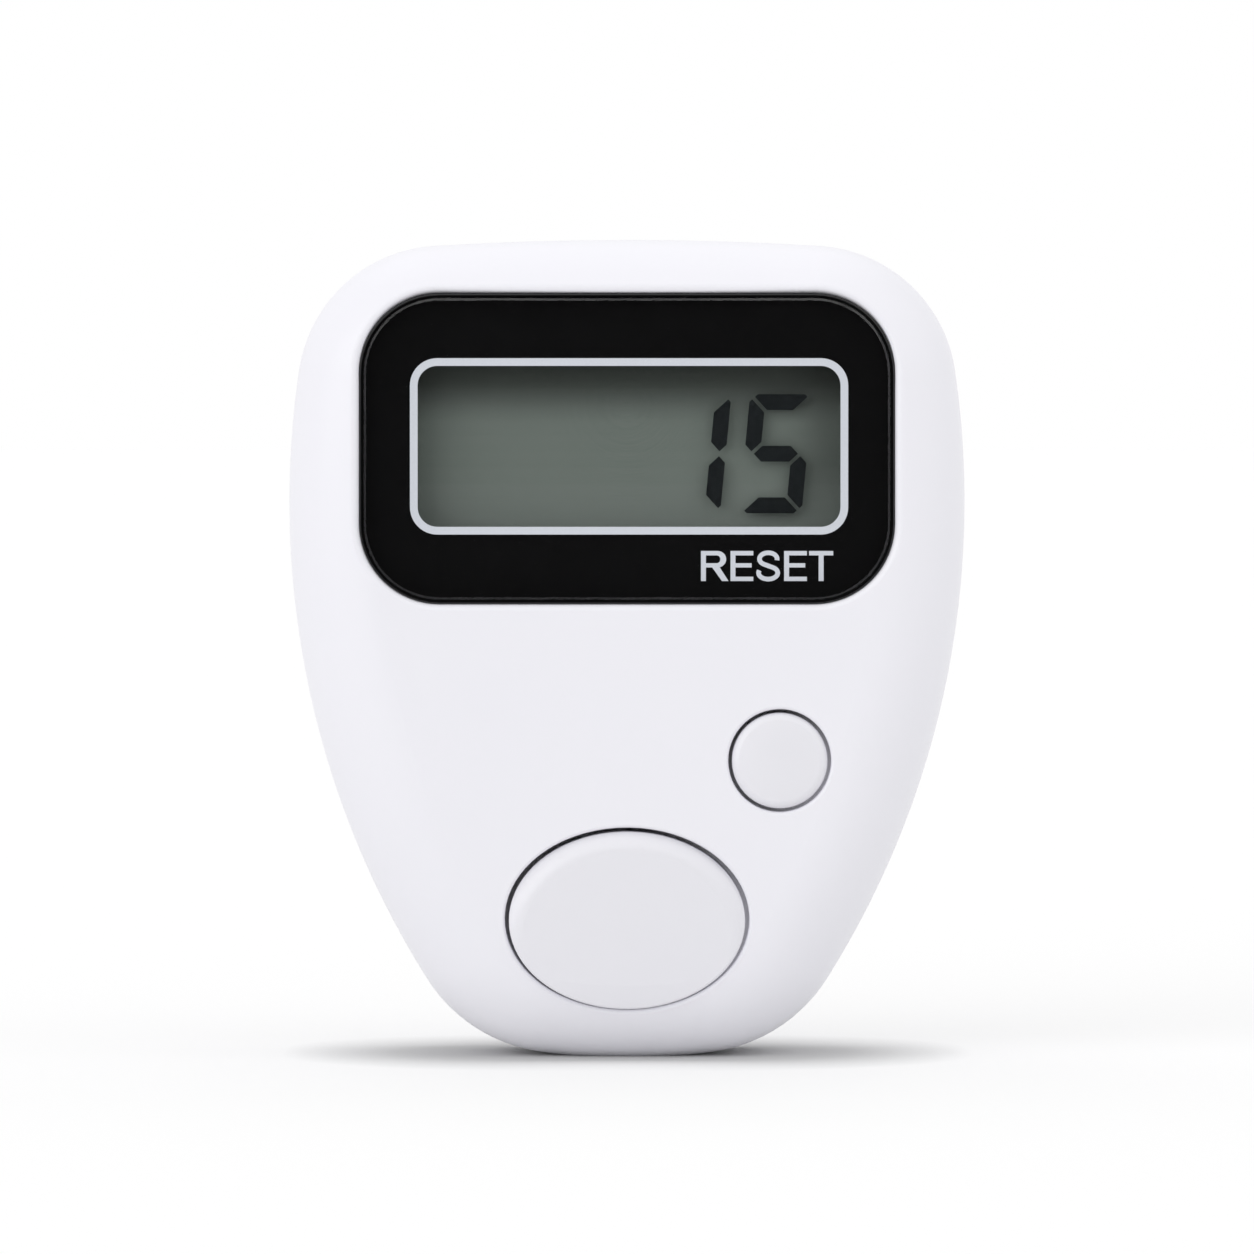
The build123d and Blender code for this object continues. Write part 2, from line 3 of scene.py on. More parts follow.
import bmesh
import bpy
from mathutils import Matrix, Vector


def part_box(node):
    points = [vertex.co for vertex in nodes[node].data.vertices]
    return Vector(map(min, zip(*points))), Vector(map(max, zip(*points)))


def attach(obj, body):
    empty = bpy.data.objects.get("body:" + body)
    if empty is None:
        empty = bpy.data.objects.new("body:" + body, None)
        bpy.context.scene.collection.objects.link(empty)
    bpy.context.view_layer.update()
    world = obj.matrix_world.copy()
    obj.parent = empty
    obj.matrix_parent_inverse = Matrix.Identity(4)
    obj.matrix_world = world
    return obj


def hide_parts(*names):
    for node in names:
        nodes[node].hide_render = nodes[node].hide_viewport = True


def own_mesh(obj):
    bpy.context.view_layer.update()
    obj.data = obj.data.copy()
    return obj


# A pocket tally counter, upright on a white floor: +Z runs up the display, the front faces -Y, in metres.
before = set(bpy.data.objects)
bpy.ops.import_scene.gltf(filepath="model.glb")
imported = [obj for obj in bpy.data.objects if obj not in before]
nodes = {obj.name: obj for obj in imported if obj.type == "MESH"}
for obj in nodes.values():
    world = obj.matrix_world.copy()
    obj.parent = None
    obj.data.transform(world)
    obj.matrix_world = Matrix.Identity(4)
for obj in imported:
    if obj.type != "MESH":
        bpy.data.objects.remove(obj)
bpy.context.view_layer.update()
MM = 0.001

# Camera: far off, level with the upper part of the case, aimed at its middle
CAMERA_DISTANCE = 450 * MM
CAMERA_HEIGHT = 31.82 * MM
AIM_HEIGHT = 20.9 * MM
FRAME_HEIGHT = 61.4 * MM
CLIP_START = 10 * MM
CLIP_END = 20.0

# Stage: the light that the floor throws back and its white as seen, its painted shade next to the case,
# the sky, a dark card for the gloss, and the lamps by the direction towards each and its strength
FLOOR_SIZE = 12.0
FLOOR_BOUNCE = 0.8
FLOOR_WHITE = 0.976
PAINTED_CONTACT_REACH = 8 * MM
PAINTED_CONTACT_SHADE = 0.42
SKY_LIGHT = 0.835
CARD_SIZE = 300 * MM
CARD_SETBACK = 100 * MM
CARD_TONE = (0.01, 0.01, 0.01, 1)
LAMP_SPREAD = math.radians(60)
LAMPS = {
    "left_front": ((-0.75, -0.7, 0.15), 0.94),
    "right_top": ((0.8, -0.2, 0.5), 0.26),
    "top_front": ((0.0, -0.8, 0.6), 0.14),
    "top_back": ((0.0, 0.4, 0.92), 0.22),
}

# Display: digits of seven bars, each by its place from the right and the letters of the bars that show
GLASS_MARGIN = 1.4 * MM
DIGIT_WIDTH = 3.05 * MM
DIGIT_HEIGHT = 5.79 * MM
DIGIT_PITCH = 3.96 * MM
DIGIT_STROKE = 0.77 * MM
DIGIT_SLANT = math.radians(5.4)
DIGIT_INSET = 1.31 * MM
DIGIT_DROP = 0.365 * MM
BAR_GAP = 0.12 * MM
BAR_TIP_CUT = 0.13 * MM
BAR_POINT = 0.32 * MM
MIDDLE_BAR_INSET = 0.45 * MM
SHOWN_DIGITS = {"lcd_digit_tens": (1, "bc"), "lcd_digit_units": (0, "afgcd")}
INK_THICKNESS = 0.02 * MM

# Display backing: its clouds and speckles, a painted shadow of the window's edge along its top and right
# edges, and painted light that makes its foot paler
CLOUD_SIZE = 5 * MM
CLOUD_TONES = ((0.155, 0.18, 0.163), (0.18, 0.205, 0.187))
SPECKLE_SIZE = 0.06 * MM
SPECKLE_SHARE = 0.3
PALE_SPECKLE_AND_PAINTED_LIGHT = (0.24, 0.265, 0.25)
PAINTED_SHADOW_TONE = (0.02, 0.021, 0.019)
PAINTED_SHADOW_FULL = 0.5 * MM
PAINTED_EDGE_REACH = 3.0 * MM
TOP_PAINTED_SHADOW = 0.73
RIGHT_PAINTED_SHADOW = 0.4
FOOT_PAINTED_LIGHT_SHARE = 0.65

# Film behind the panel, with a rim of dark film in the gap round the panel that partly stands in for the gap's
# shade, greyer along its front as a painted highlight of the panel's edge
PANEL_CORNER = 3.8 * MM
WINDOW_CORNER = 0.95 * MM
FILM_AIR = 0.012 * MM
FILM_TONES = ((0.004, 0.004, 0.0042), (0.0055, 0.0055, 0.0058))
FILM_CLOUD = 2 * MM
RIM_OUTER_MARGIN = 0.085 * MM
RIM_INNER_MARGIN = 0.015 * MM
RIM_DROP = 0.12 * MM
RIM_PAINTED_HIGHLIGHT = (0.045, 0.045, 0.047)
RIM_PAINTED_HIGHLIGHT_REACH = 0.1 * MM

# Print behind the panel: the line round the window and the function word
PRINT_SHIFT = 0.1 * MM
LINE_WIDTH = 0.375 * MM
LABEL_CAP = 1.46 * MM
LABEL_RIGHT = 10.0 * MM
LABEL_DROP = 1.90 * MM
LABEL_WIDEN = 1.03
LABEL_LETTERS = "RESET"

# Plain capitals, in shares of their height: strokes, gaps, widths, and the curves of R and S
STEM_SHARE = 0.16
TOP_BAR_SHARES = (0.852, 1.0)
MIDDLE_BAR_SHARES = (0.451, 0.593)
MIDDLE_BAR_SHORTER = 0.054
FOOT_BAR_SHARE = 0.144
SPACE_SHARES = {"RE": 0.063, "ES": 0.094, "SE": 0.12, "ET": 0.07}
WIDTH_SHARES = {"R": 0.89, "E": 0.735, "S": 0.779, "T": 0.779}
R_BOWL_X, R_BOWL_REACH, R_BOWL_START = 0.534, 0.28, -76
R_EYE_X, R_EYE_REACH = 0.508, 0.117
R_LEG_TOP, R_LEG_FOOT = 0.363, 0.678
S_UPPER_ARC = ((0.39, 0.735), (0.285, 0.205), -12, 243)
S_LOWER_ARC = ((0.385, 0.27), (0.31, 0.207), 63, -204)
S_STROKE = 0.152

# Grain of the white plastic, of gloss and of brushed metal, and the clear sheets' polish and bevel
PLASTIC_DRIFT = 9 * MM
PLASTIC_GRAIN = 0.11 * MM
PLASTIC_GRAIN_DEPTH = 0.0012 * MM
PLASTIC_ROUGH_SPREAD = 0.05
GLOSS_GRAIN = 0.1 * MM
STREAK_SIZE = 0.05 * MM
STREAK_DEPTH = 0.002 * MM
STREAK_SMOOTHER, STREAK_ROUGHER = 0.06, 0.08
SHEET_ROUGHNESS = 0.03
BEVEL_FACING = (-0.95, -0.75)

# Patterns of inner pieces: the connector's bands, the board's tracks and the capacitors' end caps
WAVE_UNIT = math.tau / 20
ZEBRA_PITCH = 0.25 * MM
ZEBRA_TONES = ((0.02, 0.02, 0.022), (0.55, 0.55, 0.57))
ZEBRA_DEPTH = 0.01 * MM
TRACK_WIDTH = 0.16 * MM
TRACK_RUN = 3.4 * MM
TRACK_PITCH = 0.7 * MM
TRACK_SOFTNESS = 0.2
TRACK_DEPTH = 0.02 * MM
TRACK_TONE = (0.03, 0.17, 0.075)
MASK_TONES = ((0.008, 0.075, 0.034), (0.012, 0.1, 0.046))
MASK_CLOUD = 1 * MM
MASK_GRAIN = 0.2 * MM
CAP_LENGTH = 0.32 * MM
CAP_FADE_END = 1.1 * CAP_LENGTH
CAP_TONE = (0.7, 0.7, 0.71)
CERAMIC_TONES = ((0.42, 0.28, 0.16), (0.48, 0.33, 0.2))
CERAMIC_GRAIN = 0.2 * MM

# Soft inner pieces
DOME_RIM = 0.45 * MM
DOME_RIM_WIDTH = 0.5 * MM
DOME_WEB = 0.35 * MM
DOME_HUB_MARGIN = 0.2 * MM
DOME_ROUND = 0.12 * MM
FOAM_BULGE = 0.22 * MM
FOAM_CORNER = 0.6 * MM
FOAM_STEPS = 10
MERGE_DISTANCE = 0.001 * MM

# The window that the black film leaves clear lies inside the rear glass
glass_low, glass_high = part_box("lcd_rear_glass")
window_left = glass_low.x + GLASS_MARGIN + PRINT_SHIFT
window_right = glass_high.x - GLASS_MARGIN + PRINT_SHIFT
window_bottom, window_top = glass_low.z + GLASS_MARGIN, glass_high.z - GLASS_MARGIN
window_centre = ((window_left + window_right) / 2, (window_bottom + window_top) / 2)
window_size = (window_right - window_left, window_top - window_bottom)
panel_front, panel_back = (corner.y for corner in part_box("display_lens"))
rim_front = panel_front + RIM_DROP
glass_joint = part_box("lcd_front_glass")[1].y


class Finish:
    """One material, with short calls for the nodes that the finishes share."""

    def __init__(self, name):
        self.material = bpy.data.materials.new(name)
        self.material.use_nodes = True
        self.tree = self.material.node_tree
        self.shader = self.tree.nodes["Principled BSDF"]
        self.output = self.tree.nodes["Material Output"]
        self.place = self.node("ShaderNodeTexCoord").outputs["Object"]

    def node(self, kind, **settings):
        made = self.tree.nodes.new(kind)
        for key, value in settings.items():
            setattr(made, key, value)
        return made

    def link(self, source, target):
        self.tree.links.new(source, target)

    def set(self, **values):
        """Fixed values on the shader's own sockets, by their names with _ for spaces."""
        for key, value in values.items():
            self.shader.inputs[key.replace("_", " ")].default_value = value

    def axes(self, vector):
        """The X, Y and Z of a vector, as outputs of their own."""
        made = self.node("ShaderNodeSeparateXYZ")
        self.link(vector, made.inputs[0])
        return made.outputs

    def maths(self, operation, first, second):
        made = self.node("ShaderNodeMath", operation=operation)
        self.link(first, made.inputs[0])
        self.link(second, made.inputs[1])
        return made.outputs[0]

    def noise(self, size, detail=2.0):
        """A noise whose lumps are about size across."""
        made = self.node("ShaderNodeTexNoise")
        made.inputs["Scale"].default_value = 1 / size
        made.inputs["Detail"].default_value = detail
        self.link(self.place, made.inputs["Vector"])
        return made.outputs["Fac"]

    def graded(self, factor, low, high, start=0.0, end=1.0, kind="LINEAR"):
        """A number that goes from low to high as the factor goes from start to end."""
        made = self.node("ShaderNodeMapRange", interpolation_type=kind)
        for key, value in zip(("From Min", "From Max", "To Min", "To Max"), (start, end, low, high)):
            made.inputs[key].default_value = value
        self.link(factor, made.inputs["Value"])
        return made.outputs["Result"]

    def mixed(self, factor, first, second):
        """A colour between two, each an (r, g, b) or another colour's output."""
        made = self.node("ShaderNodeMix", data_type="RGBA")
        self.link(factor, made.inputs["Factor"])
        for key, colour in (("A", first), ("B", second)):
            socket = next(s for s in made.inputs if s.name == key and s.type == "RGBA")
            if isinstance(colour, tuple):
                socket.default_value = (*colour, 1)
            else:
                self.link(colour, socket)
        return next(s for s in made.outputs if s.type == "RGBA")

    def colour(self, output):
        self.link(output, self.shader.inputs["Base Color"])

    def roughness(self, low, high, factor=None):
        """Gloss that varies with a factor, or with a fine grain of its own."""
        if factor is None:
            factor = self.noise(GLOSS_GRAIN)
        self.link(self.graded(factor, low, high), self.shader.inputs["Roughness"])

    def bump(self, height, depth):
        made = self.node("ShaderNodeBump")
        made.inputs["Distance"].default_value = depth
        self.link(height, made.inputs["Height"])
        self.link(made.outputs["Normal"], self.shader.inputs["Normal"])


def moulded_plastic(name, colour, shade, rough):
    """White moulded plastic: a fine even grain and a faint drift of tone."""
    finish = Finish(name)
    finish.colour(finish.mixed(finish.noise(PLASTIC_DRIFT), colour, shade))
    grain = finish.noise(PLASTIC_GRAIN, detail=3.0)
    finish.roughness(rough - PLASTIC_ROUGH_SPREAD, rough + PLASTIC_ROUGH_SPREAD, grain)
    finish.bump(grain, PLASTIC_GRAIN_DEPTH)
    return finish.material


def clear_sheet(name, tint, gloss, edge_shine=0.0):
    """Clear acrylic or glass: tinted straight through, and glossy by angle where light enters.

    The bevel round its front shines a little more, by edge_shine.
    """
    finish = Finish(name)
    clear = finish.node("ShaderNodeBsdfTransparent")
    clear.inputs["Color"].default_value = (*tint, 1)
    glossy = finish.node("ShaderNodeBsdfGlossy")
    glossy.inputs["Roughness"].default_value = SHEET_ROUGHNESS
    fresnel = finish.node("ShaderNodeFresnel")
    fresnel.inputs["IOR"].default_value = gloss
    surface = finish.node("ShaderNodeNewGeometry")
    entering = finish.graded(surface.outputs["Backfacing"], 1.0, 0.0)
    facing = finish.axes(surface.outputs["Normal"])["Y"]
    bevel = finish.graded(facing, 0.0, edge_shine, *BEVEL_FACING)
    shine = finish.maths("ADD", fresnel.outputs["Fac"], bevel)
    sheet = finish.node("ShaderNodeMixShader")
    finish.link(finish.maths("MULTIPLY", shine, entering), sheet.inputs[0])
    finish.link(clear.outputs["BSDF"], sheet.inputs[1])
    finish.link(glossy.outputs["BSDF"], sheet.inputs[2])
    finish.link(sheet.outputs["Shader"], finish.output.inputs["Surface"])
    finish.tree.nodes.remove(finish.shader)
    return finish.material


def black_film(name):
    """Black film, a little greyer along the front of its rim, as a painted highlight of the panel's edge."""
    finish = Finish(name)
    film = finish.mixed(finish.noise(FILM_CLOUD), *FILM_TONES)
    depth = finish.axes(finish.place)["Y"]
    # Painted highlight: the rim's front is greyer, as if the panel's edge caught light
    rim_highlight = finish.graded(depth, 1.0, 0.0, rim_front, rim_front + RIM_PAINTED_HIGHLIGHT_REACH)
    finish.colour(finish.mixed(rim_highlight, film, RIM_PAINTED_HIGHLIGHT))
    finish.roughness(0.45, 0.6)
    finish.set(Specular_IOR_Level=0.015)
    return finish.material


def display_backing(name):
    """The grey-green film behind the display: a fine speckle over a cloudy tone, with a painted shadow of the
    window's edge near two edges and painted light along its foot.
    """
    finish = Finish(name)
    cloud = finish.mixed(finish.noise(CLOUD_SIZE), *CLOUD_TONES)
    speckle = finish.noise(SPECKLE_SIZE, detail=1.0)
    tone = finish.mixed(finish.graded(speckle, 0.0, SPECKLE_SHARE), cloud, PALE_SPECKLE_AND_PAINTED_LIGHT)
    spot = finish.axes(finish.place)
    # Painted shadow of the window's edge, darkest along the top and right edges of the backing
    for axis, edge, share in (("Z", window_top, TOP_PAINTED_SHADOW), ("X", window_right, RIGHT_PAINTED_SHADOW)):
        near = finish.graded(
            spot[axis], share, 0.0, edge - PAINTED_SHADOW_FULL, edge - PAINTED_EDGE_REACH, "SMOOTHSTEP")
        tone = finish.mixed(near, tone, PAINTED_SHADOW_TONE)
    # Painted light along the foot of the backing, which makes it paler there; the same pale tone also colours
    # the speckles
    foot = finish.graded(
        spot["Z"], FOOT_PAINTED_LIGHT_SHARE, 0.0, window_bottom, window_bottom + PAINTED_EDGE_REACH)
    finish.colour(finish.mixed(foot, tone, PALE_SPECKLE_AND_PAINTED_LIGHT))
    finish.roughness(0.45, 0.6, speckle)
    return finish.material


def ink(name, first, second, size, rough, detail=2.0, **values):
    """Printed ink: two near tones in lumps of one size, with gloss of a grain of its own."""
    finish = Finish(name)
    finish.colour(finish.mixed(finish.noise(size, detail), first, second))
    finish.roughness(*rough)
    finish.set(**values)
    return finish.material


def grained(name, first, second, size, rough, depth, **values):
    """A plain solid stuff: two near tones in lumps of one size, with a bump of the same grain."""
    finish = Finish(name)
    grain = finish.noise(size, detail=3.0)
    finish.colour(finish.mixed(grain, first, second))
    finish.roughness(*rough, grain)
    finish.bump(grain, depth)
    finish.set(**values)
    return finish.material


def striped_rubber(name):
    """The connector's layers: dark carbon bands between pale ones, side by side along it."""
    finish = Finish(name)
    bands = finish.node("ShaderNodeTexWave", bands_direction="X")
    bands.inputs["Scale"].default_value = WAVE_UNIT / ZEBRA_PITCH
    finish.link(finish.place, bands.inputs["Vector"])
    finish.colour(finish.mixed(bands.outputs["Fac"], *ZEBRA_TONES))
    finish.roughness(0.6, 0.75)
    finish.bump(bands.outputs["Fac"], ZEBRA_DEPTH)
    return finish.material


def board_laminate(name):
    """Green solder mask over copper tracks, which show as paler raised lines."""
    finish = Finish(name)
    spot = finish.axes(finish.place)
    flat = finish.node("ShaderNodeCombineXYZ")
    finish.link(spot["X"], flat.inputs["X"])
    finish.link(spot["Z"], flat.inputs["Y"])
    tracks = finish.node("ShaderNodeTexBrick")
    finish.link(flat.outputs[0], tracks.inputs["Vector"])
    for key, value in (("Scale", 1.0), ("Mortar Size", TRACK_WIDTH / 2), ("Mortar Smooth", TRACK_SOFTNESS),
                       ("Brick Width", TRACK_RUN), ("Row Height", TRACK_PITCH)):
        tracks.inputs[key].default_value = value
    mask = finish.mixed(finish.noise(MASK_CLOUD), *MASK_TONES)
    finish.colour(finish.mixed(tracks.outputs["Fac"], mask, TRACK_TONE))
    finish.roughness(0.3, 0.42, finish.noise(MASK_GRAIN))
    finish.bump(tracks.outputs["Fac"], TRACK_DEPTH)
    return finish.material


def tipped_ceramic(name, node):
    """Tan ceramic bodies with a tinned cap at each end."""
    low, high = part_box(node)
    finish = Finish(name)
    along = finish.axes(finish.place)["X"]
    left = finish.graded(along, 1.0, 0.0, low.x + CAP_LENGTH, low.x + CAP_FADE_END)
    right = finish.graded(along, 0.0, 1.0, high.x - CAP_FADE_END, high.x - CAP_LENGTH)
    caps = finish.maths("MAXIMUM", left, right)
    body = finish.mixed(finish.noise(CERAMIC_GRAIN), *CERAMIC_TONES)
    finish.colour(finish.mixed(caps, body, CAP_TONE))
    finish.link(caps, finish.shader.inputs["Metallic"])
    finish.roughness(0.35, 0.5)
    return finish.material


def brushed_metal(name, first, second, stretch, rough):
    """Metal strip or plate: fine streaks, drawn out along one axis, in tone, gloss and depth."""
    finish = Finish(name)
    drawn = finish.node("ShaderNodeMapping")
    drawn.inputs["Scale"].default_value = stretch
    finish.link(finish.place, drawn.inputs["Vector"])
    finish.place = drawn.outputs["Vector"]
    streaks = finish.noise(STREAK_SIZE, detail=3.0)
    finish.colour(finish.mixed(streaks, first, second))
    finish.roughness(rough - STREAK_SMOOTHER, rough + STREAK_ROUGHER, streaks)
    finish.bump(streaks, STREAK_DEPTH)
    finish.set(Metallic=1.0)
    return finish.material


finishes = {
    "case": moulded_plastic("white_case_plastic", (0.86, 0.855, 0.90), (0.84, 0.835, 0.885), 0.36),
    "button": moulded_plastic("white_button_plastic", (0.80, 0.795, 0.835), (0.78, 0.775, 0.82), 0.30),
    "panel": clear_sheet("clear_panel", (0.98, 0.98, 0.98), 1.49, edge_shine=0.015),
    "glass": clear_sheet("clear_display_glass", (0.96, 0.975, 0.965), 1.2),
    "film": black_film("black_panel_film"),
    "backing": display_backing("display_backing_film"),
    "ink": ink(
        "display_bar_ink", (0.007, 0.009, 0.0105), (0.011, 0.0135, 0.015), 0.6 * MM, (0.5, 0.65),
        Specular_IOR_Level=0.1),
    "silver": ink(
        "silver_panel_ink", (0.60, 0.63, 0.69), (0.69, 0.72, 0.775), 0.05 * MM, (0.4, 0.5), detail=1.0),
    "foam": grained(
        "dark_foam", (0.03, 0.03, 0.032), (0.06, 0.06, 0.063), 0.25 * MM, (0.85, 0.95), 0.1 * MM),
    "zebra": striped_rubber("striped_rubber"),
    "board": board_laminate("green_board"),
    "carbon": grained(
        "carbon_print", (0.01, 0.01, 0.01), (0.02, 0.02, 0.02), 0.1 * MM, (0.5, 0.6), 0.003 * MM),
    "resin": grained(
        "black_resin", (0.008, 0.008, 0.009), (0.012, 0.012, 0.013), 1 * MM, (0.2, 0.3), 0.01 * MM),
    "ceramic": tipped_ceramic("tan_ceramic", "bias_capacitors"),
    "steel": brushed_metal("cell_steel", (0.6, 0.6, 0.6), (0.68, 0.68, 0.67), (0.06, 1, 1), 0.26),
    "spring": brushed_metal("sprung_strip", (0.64, 0.61, 0.55), (0.72, 0.69, 0.62), (1, 1, 0.06), 0.3),
    "silicone": grained(
        "pale_silicone", (0.62, 0.63, 0.64), (0.68, 0.69, 0.7), 0.6 * MM, (0.5, 0.6), 0.003 * MM),
    "pill": grained(
        "carbon_rubber", (0.012, 0.012, 0.012), (0.02, 0.02, 0.02), 0.1 * MM, (0.7, 0.8), 0.004 * MM),
    "screw": grained(
        "plated_steel", (0.55, 0.55, 0.56), (0.66, 0.66, 0.66), 0.2 * MM, (0.25, 0.4), 0.003 * MM,
        Metallic=1.0),
}
node_finishes = {
    "front_shell": "case", "rear_cover": "case", "count_button": "button", "reset_button": "button",
    "display_lens": "panel", "lens_adhesive": "film", "lcd_front_glass": "glass", "lcd_rear_glass": "glass",
    "lcd_reflector": "backing", "lcd_foam_pad": "foam", "zebra_strip": "zebra", "circuit_board": "board",
    "switch_pads": "carbon", "chip_blob": "resin", "bias_capacitors": "ceramic", "button_cell": "steel",
    "cell_clip": "spring", "cell_spring": "spring", "count_dome": "silicone", "reset_dome": "silicone",
    "count_pill": "pill", "reset_pill": "pill", "case_screws": "screw", "board_screws": "screw",
}
for node_name, finish_name in node_finishes.items():
    nodes[node_name].material_slots[0].material = finishes[finish_name]

# Clear sheets let light through to the display without a shadow
for node_name in ("display_lens", "lcd_front_glass", "lcd_rear_glass"):
    nodes[node_name].visible_shadow = False
    nodes[node_name].visible_diffuse = False

# Some light also reaches the narrow gaps round the buttons
for node_name in ("count_button", "reset_button"):
    nodes[node_name].visible_shadow = False


def new_piece(name, form, finish, body):
    """A bmesh as a finished piece that rides on a body."""
    mesh = bpy.data.meshes.new(name)
    bmesh.ops.recalc_face_normals(form, faces=form.faces)
    form.to_mesh(mesh)
    form.free()
    piece = bpy.data.objects.new(name, mesh)
    bpy.context.scene.collection.objects.link(piece)
    mesh.materials.append(finishes[finish])
    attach(piece, body)
    return piece


def thin_plate(form, outline, back, thickness):
    """Adds a flat plate with an (x, z) outline to a form."""
    behind, front = ([form.verts.new((x, y, z)) for x, z in outline] for y in (back, back - thickness))
    form.faces.new(behind)
    form.faces.new(front)
    for i in range(len(outline)):
        form.faces.new((behind[i - 1], behind[i], front[i], front[i - 1]))


def closed_band(form, stations):
    """Adds a band that closes on itself: (x, z) rings of as many points, each at its depth, joined in turn."""
    rings = [[form.verts.new((x, y, z)) for x, z in ring] for ring, y in stations]
    for here, there in zip(rings, rings[1:] + rings[:1]):
        for i in range(len(here)):
            form.faces.new((here[i - 1], here[i], there[i], there[i - 1]))


def box_middle(low, high):
    """The (x, z) middle of a box."""
    return ((low.x + high.x) / 2, (low.z + high.z) / 2)


def rounded_rectangle(centre, width, height, radius, steps=12):
    """The (x, z) points of a rectangle with round corners."""
    points = []
    for corner, (side, rise) in enumerate(((1, 1), (-1, 1), (-1, -1), (1, -1))):
        x = centre[0] + side * (width / 2 - radius)
        z = centre[1] + rise * (height / 2 - radius)
        for step in range(steps + 1):
            angle = math.radians(90) * (corner + step / steps)
            points.append((x + radius * math.cos(angle), z + radius * math.sin(angle)))
    return points


def bar_outlines():
    """The seven bars of a digit by their usual letters, upright, from the digit's lower left corner."""
    w, h, t = DIGIT_WIDTH, DIGIT_HEIGHT, DIGIT_STROKE
    gap, cut, point, inset = BAR_GAP, BAR_TIP_CUT, BAR_POINT, MIDDLE_BAR_INSET
    middle = h / 2
    top = [(gap + 2 * cut, h), (w - gap - 2 * cut, h), (w - gap - cut, h - cut), (w - t - gap, h - t),
           (t + gap, h - t), (gap + cut, h - cut)]
    upper_left = [(0, h - gap - 2 * cut), (cut, h - gap - cut), (t, h - gap - t),
                  (t, middle + gap + t - point), (point, middle + gap), (0, middle + gap + point)]
    centre = [(inset, middle), (inset + t / 2, middle + t / 2), (w - inset - t / 2, middle + t / 2),
              (w - inset, middle), (w - inset - t / 2, middle - t / 2), (inset + t / 2, middle - t / 2)]

    def across(outline):
        return [(w - x, z) for x, z in outline]

    def below(outline):
        return [(x, h - z) for x, z in outline]

    return {
        "a": top, "b": across(upper_left), "c": below(across(upper_left)), "d": below(top),
        "e": below(upper_left), "f": upper_left, "g": centre,
    }


def display_digits():
    """The bars that show, between the two glass plates."""
    bars = bar_outlines()
    foot = window_centre[1] - DIGIT_DROP - DIGIT_HEIGHT / 2
    lean = math.tan(DIGIT_SLANT)
    for name, (place, letters) in SHOWN_DIGITS.items():
        left = window_right - DIGIT_INSET - DIGIT_WIDTH - DIGIT_HEIGHT * lean - place * DIGIT_PITCH
        form = bmesh.new()
        for letter in letters:
            outline = [(left + x + z * lean, foot + z) for x, z in bars[letter]]
            thin_plate(form, outline, glass_joint, INK_THICKNESS)
        new_piece(name, form, "ink", "case")


def window_line():
    """The silver line printed round the window."""
    width, height = window_size
    outer = rounded_rectangle(
        window_centre, width + 2 * LINE_WIDTH, height + 2 * LINE_WIDTH, WINDOW_CORNER + LINE_WIDTH)
    inner = rounded_rectangle(window_centre, width, height, WINDOW_CORNER)
    front = panel_back - INK_THICKNESS
    form = bmesh.new()
    closed_band(form, [(outer, panel_back), (outer, front), (inner, front), (inner, panel_back)])
    new_piece("window_line", form, "silver", "case")


def panel_film():
    """The black film, a hair behind the panel, with a rim that turns up in the gap round the panel's edge and
    partly stands in for the gap's shade.
    """
    low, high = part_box("lens_adhesive")
    panel_low, panel_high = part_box("display_lens")
    outer, inner = (
        rounded_rectangle(
            box_middle(panel_low, panel_high), panel_high.x - panel_low.x + 2 * margin,
            panel_high.z - panel_low.z + 2 * margin, PANEL_CORNER + margin)
        for margin in (RIM_OUTER_MARGIN, RIM_INNER_MARGIN)
    )
    window = rounded_rectangle(window_centre, *window_size, WINDOW_CORNER)
    back, front = high.y, low.y + FILM_AIR
    form = bmesh.new()
    # The rim fills the gap round the panel with dark film, partly standing in for the gap's shade
    closed_band(form, [
        (outer, back), (outer, rim_front), (inner, rim_front), (inner, front), (window, front),
        (window, back)])
    film = new_piece("panel_film", form, "film", "case")
    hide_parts("lens_adhesive")


def arc(centre, radii, start, end, steps=20):
    """Points along an ellipse from one angle to another, in degrees."""
    points = []
    for step in range(steps + 1):
        angle = math.radians(start + (end - start) * step / steps)
        points.append((centre[0] + radii[0] * math.cos(angle), centre[1] + radii[1] * math.sin(angle)))
    return points


def ribbon(path, width):
    """The outline of a stroke of one width along a path."""
    left, right = [], []
    for i, point in enumerate(path):
        ahead = Vector(path[min(i + 1, len(path) - 1)]) - Vector(path[max(i - 1, 0)])
        across = ahead.orthogonal().normalized() * width / 2
        left.append(Vector(point) + across)
        right.append(Vector(point) - across)
    return left + right[::-1]


